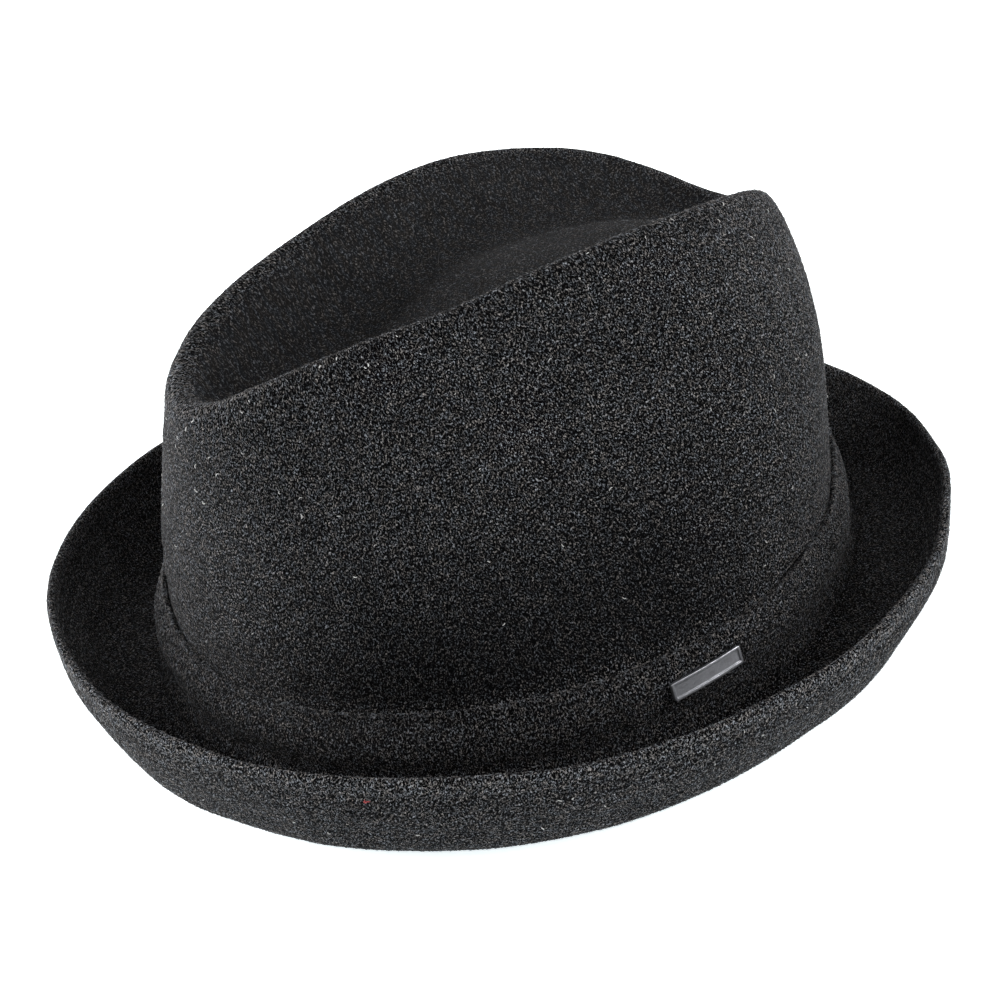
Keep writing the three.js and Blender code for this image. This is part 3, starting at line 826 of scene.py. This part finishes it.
# ---- the nap ----------------------------------------------------------------------------
def nap_hairs(name, rows, down, count, tones, weight=None, length=(0.6, 1.5), width=0.11, rise=(0.05, 0.22),
              lean=0.55, material=HAIR_LOOK, closed=True):
    """Short hairs lying on a face given by rows (r, c, 3) of points round the hat.

    down: +1 where going down the rows and along the columns gives an outward
    square by the right hand, -1 where it gives an inward one."""
    if closed:
        rows = np.concatenate([rows, rows[:, :1]], 1)
    a, b, c, d = rows[:-1, :-1], rows[1:, :-1], rows[1:, 1:], rows[:-1, 1:]
    cross = np.cross(c - a, d - b) * 0.5
    area = np.linalg.norm(cross, axis=-1)
    if weight is not None:
        area = area * weight
    total = np.cumsum(area.ravel())
    pick = np.searchsorted(total, (np.arange(count) + rng.uniform(0, 1, count)) / count * total[-1])
    pick = np.minimum(pick, len(total) - 1)
    i, j = np.unravel_index(pick, area.shape)
    s, t = rng.uniform(0, 1, (count, 1)), rng.uniform(0, 1, (count, 1))
    p = (a[i, j] * (1 - s) + b[i, j] * s) * (1 - t) + (d[i, j] * (1 - s) + c[i, j] * s) * t
    n = unit(cross[i, j]) * down
    fall = unit(b[i, j] - a[i, j] + c[i, j] - d[i, j])
    side = unit(np.cross(n, fall))
    angle = rng.normal(0, lean, count)
    loose = rng.uniform(0, 1, count) < 0.22
    angle = np.where(loose, rng.uniform(-PI / 2, PI / 2, count), angle)[:, None]
    way = fall * np.cos(angle) + side * np.sin(angle)
    cross_way = unit(np.cross(n, way))
    long_ = rng.uniform(length[0], length[1], (count, 1))
    high = rng.uniform(rise[0], rise[1], (count, 1))
    bend = rng.normal(0, 0.13, (count, 1)) * long_
    wide = width * rng.uniform(0.7, 1.3, (count, 1)) / 2
    start = p - way * long_ / 2 - n * 0.04
    end = p + way * long_ / 2 + n * (high * rng.uniform(-0.4, 0.6, (count, 1)))
    mid = p + cross_way * bend + n * high
    m0 = mid + n * wide
    m1 = mid + (cross_way * 0.87 - n * 0.5) * wide
    m2 = mid - (cross_way * 0.87 + n * 0.5) * wide
    points = np.stack([start, end, m0, m1, m2], 1).reshape(-1, 3)
    points[:, 2] = np.maximum(points[:, 2], 0.0)
    # each hair takes the painted light and shade of the felt where it lies
    tone = np.repeat(tones[i, j], 5)
    tri = np.array([[0, 3, 2], [0, 4, 3], [0, 2, 4], [1, 2, 3], [1, 3, 4], [1, 4, 2]])
    faces = (tri[None] + (np.arange(count) * 5)[:, None, None]).reshape(-1, 3)
    cells = int(math.ceil(math.sqrt(count)))
    cell = np.stack([np.arange(count) % cells, np.arange(count) // cells], -1)[:, None, :]
    spots = np.array([[0.15, 0.5], [0.85, 0.5], [0.5, 0.85], [0.5, 0.5], [0.5, 0.15]])[None]
    uv = (cell + spots) / cells
    bake = uv[np.arange(count)[:, None, None], tri[None]].reshape(-1, 3, 2)
    return mesh_object(name, points, faces, material, maps={"OFBake": bake}, tone=tone)


def rows_between(a, b):
    """Top rows whose median place lies between a and b."""
    at = np.median(PLACE, 1)
    return np.where((at >= a) & (at <= b))[0]


crown_rows = rows_between(AT_RIM - 1, BAND_TOP - 0.02)
dent_rows = rows_between(0, AT_RIM - 1)
roll_rows = rows_between(AT_RING - 1.0, AT_LIP)
outer_rows = rows_between(AT_RING + 0.8, AT_LIP)

HAIRS = 1.0
nap = [
    nap_hairs("nap_crown", TOP[crown_rows], 1, int(31000 * HAIRS), PAINTED_TONE[crown_rows]),
    nap_hairs("nap_dent", TOP[dent_rows], 1, int(8000 * HAIRS), PAINTED_TONE[dent_rows], lean=0.9),
    nap_hairs("nap_brim_inner", np.concatenate([TOP[roll_rows], LIP[:3]], 0), 1, int(18000 * HAIRS),
              np.concatenate([PAINTED_TONE[roll_rows], np.repeat(PAINTED_TONE[-1:], 3, 0)], 0)),
    nap_hairs("nap_brim_outer", np.concatenate([LIP[2:], UNDER[outer_rows][::-1]], 0), 1, int(32000 * HAIRS),
              np.concatenate([np.repeat(PAINTED_TONE[-1:], 3, 0), PAINTED_TONE[outer_rows][::-1]], 0), lean=0.8),
]
band_nap = nap_hairs("nap_band", BAND_OUTER, 1, int(12000 * HAIRS), np.full(BAND_OUTER.shape[:2], 1.1))
edge_rows = np.concatenate([BAND_EDGE, BAND_OUTER[:2]], 0)
edge_nap = nap_hairs("nap_band_edge", edge_rows, 1, int(4200 * HAIRS), np.full(edge_rows.shape[:2], 1.1),
                     length=(0.7, 1.5), rise=(0.1, 0.4), lean=1.0)

# ---- lint caught in the nap -----------------------------------------------------------------
def lint_material(name, colour):
    m = Nodes(name)
    obj = m.add("ShaderNodeTexCoord").outputs["Object"]
    tone = m.ramp(m.noise(m.mapped(obj, (1, 1, 1)), 700.0, 1.0, 0.5), 0.3, 0.7, 0.6, 1.0)
    m.link(m.mix(tone, tuple(c * 0.5 for c in colour), colour), m.shader.inputs["Base Color"])
    m.shader.inputs["Roughness"].default_value = 0.8
    m.shader.inputs["Specular IOR Level"].default_value = 0.2
    return m.material


def build_lint(name, spots, material):
    """Curled fibres lying on the felt; spots: turn in degrees, place, length,
    width, how far it curls, which way it lies, height over the middle."""
    sides, rings = 5, 13
    points, faces = [], []
    for turn, place, long_, wide, curl, lie, out in spots:
        t = np.array([math.radians(turn)])
        centre, n = middle(t, place)[0, 0], square(t, place)[0, 0]
        if out < 0:
            n = -n
        centre = centre + n * (FELT / 2 + 0.12 + float(uneven(middle(t, place), grid(place, t))[0, 0]) * (1 if out > 0 else -1))
        a = unit(np.cross(n, np.array([0.0, 0.0, 1.0])))
        b = unit(np.cross(n, a))
        s = np.linspace(-0.5, 0.5, rings)
        bend = lie + curl * s * 2
        step = np.stack([np.cos(bend), np.sin(bend)], -1) * (long_ / (rings - 1))
        flat = np.cumsum(step, 0)
        flat -= flat.mean(0)
        lift = 0.25 * np.cos(s * PI) * wide * 3
        line = centre + flat[:, :1] * a + flat[:, 1:] * b + lift[:, None] * n
        way = unit(np.gradient(line, axis=0))
        across = unit(np.cross(way, n))
        up = np.cross(across, way)
        thick = wide / 2 * np.sqrt(np.clip(1.02 - (2 * s) ** 4, 0.04, 1))
        ring = [(line + (across * math.cos(2 * PI * j / sides) + up * math.sin(2 * PI * j / sides)) * thick[:, None])
                for j in range(sides)]
        base = sum(len(p) for p in points)
        points.append(np.stack(ring, 1).reshape(-1, 3))
        ids = np.arange(rings * sides).reshape(rings, sides) + base
        c, d = ids[:-1], ids[1:]
        quads = np.stack([c, d, np.roll(d, -1, 1), np.roll(c, -1, 1)], -1).reshape(-1, 4)
        faces += [quads[:, [0, 1, 2]], quads[:, [0, 2, 3]]]
        for r, flip in ((0, False), (rings - 1, True)):
            e = ids[r]
            cap = np.array([[e[0], e[1], e[2]], [e[0], e[2], e[3]], [e[0], e[3], e[4]]])
            faces.append(cap[:, ::-1] if flip else cap)
    o = mesh_object(name, np.concatenate(points, 0), np.concatenate(faces, 0), material)
    return o


PALE_LINT = []
for _ in range(70):
    PALE_LINT.append((rng.uniform(-30, 150), rng.uniform(AT_RIM + 0.3, AT_WAIST - 0.4), rng.uniform(0.5, 1.5),
                      rng.uniform(0.16, 0.26), rng.uniform(-1.6, 1.6), rng.uniform(0, PI), 1))
for _ in range(26):
    PALE_LINT.append((rng.uniform(-20, 120), rng.uniform(AT_RING + 1.5, AT_LIP - 0.1), rng.uniform(0.5, 1.4),
                      rng.uniform(0.16, 0.26), rng.uniform(-1.6, 1.6), rng.uniform(0, PI), -1))
build_lint("lint_pale", PALE_LINT, lint_material("pale_lint", (0.55, 0.55, 0.54)))
RED_LINT = [(LINT_TURN, LINT_PLACE, 1.5, 0.26, 1.1, 0.5, -1), (LINT_TURN - 0.25, LINT_PLACE + 0.03, 1.1, 0.24, -1.2, 1.2, -1),
            (LINT_TURN + 0.2, LINT_PLACE + 0.02, 1.0, 0.22, 0.6, 0.1, -1)]
build_lint("lint_red", RED_LINT, lint_material("red_lint", (0.34, 0.06, 0.06)))

# ---- floor, light, camera ----------------------------------------------------------------
def plain_floor():
    m = Nodes("pale_floor")
    m.shader.inputs["Base Color"].default_value = (0.86, 0.86, 0.86, 1)
    m.shader.inputs["Roughness"].default_value = 0.9
    m.shader.inputs["Specular IOR Level"].default_value = 0.1
    m.shader.inputs["Emission Color"].default_value = (0.92, 1.0, 1.03, 1)
    m.shader.inputs["Emission Strength"].default_value = 0.85
    half = 4500.0
    o = mesh_object("floor", [[-half, -half, -0.05], [half, -half, -0.05], [half, half, -0.05], [-half, half, -0.05]],
                    [[0, 1, 2, 3]], m.material, body=None, smooth_shade=False)
    return o


plain_floor()

world = bpy.data.worlds.new("studio")
bpy.context.scene.world = world
world.use_nodes = True
world.node_tree.nodes["Background"].inputs[0].default_value = (1, 1, 1, 1)
# weak as a light, pale where the camera sees past the floor's edge
ray = world.node_tree.nodes.new("ShaderNodeLightPath")
pale = world.node_tree.nodes.new("ShaderNodeMath")
pale.operation = "MULTIPLY_ADD"
pale.inputs[1].default_value = 0.94
pale.inputs[2].default_value = 0.06
world.node_tree.links.new(ray.outputs["Is Camera Ray"], pale.inputs[0])
world.node_tree.links.new(pale.outputs[0], world.node_tree.nodes["Background"].inputs[1])

CAM_AZ, CAM_EL, CAM_ROLL = math.radians(52.2), math.radians(29.69), math.radians(8.99)
CAM_FAR, CAM_LENS = 625.0, 71.348
CAM_TARGET = Vector((-49.26, 37.49, -5.5))
back = Vector((math.sin(CAM_AZ) * math.cos(CAM_EL), -math.cos(CAM_AZ) * math.cos(CAM_EL), math.sin(CAM_EL)))
right = Vector((math.cos(CAM_AZ), math.sin(CAM_AZ), 0.0))
upward = back.cross(right)

camera = bpy.data.objects.new("camera", bpy.data.cameras.new("camera"))
bpy.context.scene.collection.objects.link(camera)
camera.data.sensor_width = 36.0
camera.data.lens = CAM_LENS
camera.data.clip_start = 0.02
camera.data.clip_end = 60.0
cam_x = right * math.cos(CAM_ROLL) - upward * math.sin(CAM_ROLL)
cam_y = right * math.sin(CAM_ROLL) + upward * math.cos(CAM_ROLL)
where = (CAM_TARGET + back * CAM_FAR) * MM
camera.matrix_world = Matrix((
    (cam_x.x, cam_y.x, back.x, where.x),
    (cam_x.y, cam_y.y, back.y, where.y),
    (cam_x.z, cam_y.z, back.z, where.z),
    (0, 0, 0, 1)))
bpy.context.scene.camera = camera


def soft_light(name, place, aim, size, watts):
    data = bpy.data.lights.new(name, "AREA")
    data.shape = "RECTANGLE"
    data.size, data.size_y = size
    data.energy = watts
    o = bpy.data.objects.new(name, data)
    bpy.context.scene.collection.objects.link(o)
    o.location = place
    o.rotation_mode = "QUATERNION"
    o.rotation_quaternion = (Vector(aim) - Vector(place)).to_track_quat("-Z", "Y")
    return o


side = Vector((right.x, right.y, 0))
ahead = Vector((-back.x, -back.y, 0)).normalized()
# name, degrees round from the camera's right and away from it, height in
# degrees, width, watts; each 1.6 m off
LIGHTS = (
    ("soft_left", 164, 19, 1.5, 58),
    ("soft_right", 352, 18, 1.3, 31),
    ("soft_back", 78, 20, 1.2, 14),
    ("soft_front", 270, 45, 1.0, 8),
    ("soft_high", 170, 48, 1.0, 7),
)
for light_name, round_, up_, wide_, watts_ in LIGHTS:
    a_, e_ = math.radians(round_), math.radians(up_)
    way_ = (side * math.cos(a_) + ahead * math.sin(a_)) * math.cos(e_) + Vector((0, 0, math.sin(e_)))
    soft_light(light_name, tuple(way_ * 1.6 + Vector((0, 0, 0.05))), (0, 0, 0.05), (wide_, 1.0), watts_)

bpy.context.scene.view_settings.view_transform = "Standard"

bpy.context.view_layer.update()
